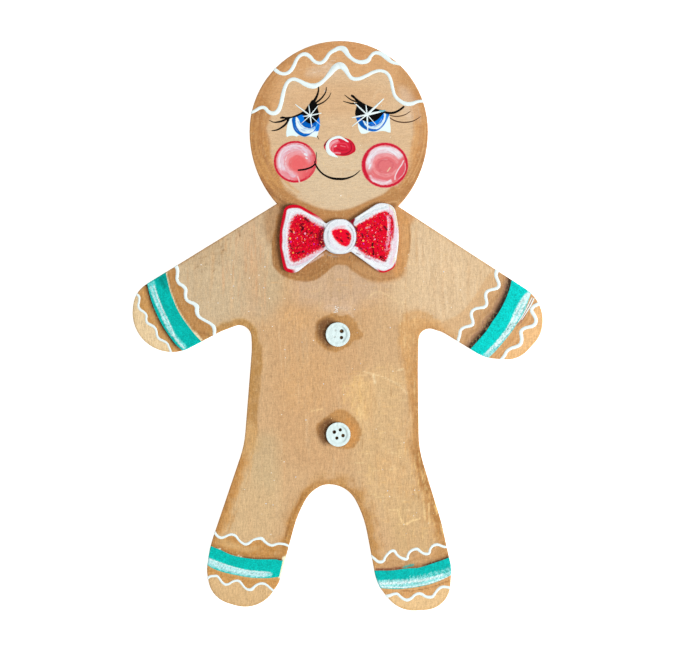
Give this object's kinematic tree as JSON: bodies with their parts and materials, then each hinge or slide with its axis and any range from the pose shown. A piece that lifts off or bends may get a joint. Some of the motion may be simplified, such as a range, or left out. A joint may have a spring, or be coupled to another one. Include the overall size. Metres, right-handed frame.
{
  "type": "painted wooden gingerbread man ornament",
  "caption": "Flat sawn-board gingerbread man, hand painted with a face, icing lines and teal bands, with a thin board bow tie and white sewing buttons glued to its front.",
  "frame": {"origin": "centre of the figure's outline at the back face of the board, which lies on z = 0", "axes": "+Z out of the painted front, +Y from the feet to the crown, +X to the viewer's right when the front is seen"},
  "size_m": [0.2196, 0.305, 0.009],
  "materials": {
    "painted_board": "brushed tan acrylic on board, floated brown shading, satin",
    "painted_bow": "red acrylic with a brushed white border and glitter",
    "painted_button": "brushed over with white acrylic, satin"
  },
  "bodies": {
    "root": {"board": "painted_board", "bow_tie": "painted_bow", "upper_button": "painted_button", "lower_button": "painted_button"}
  },
  "joints": []
}
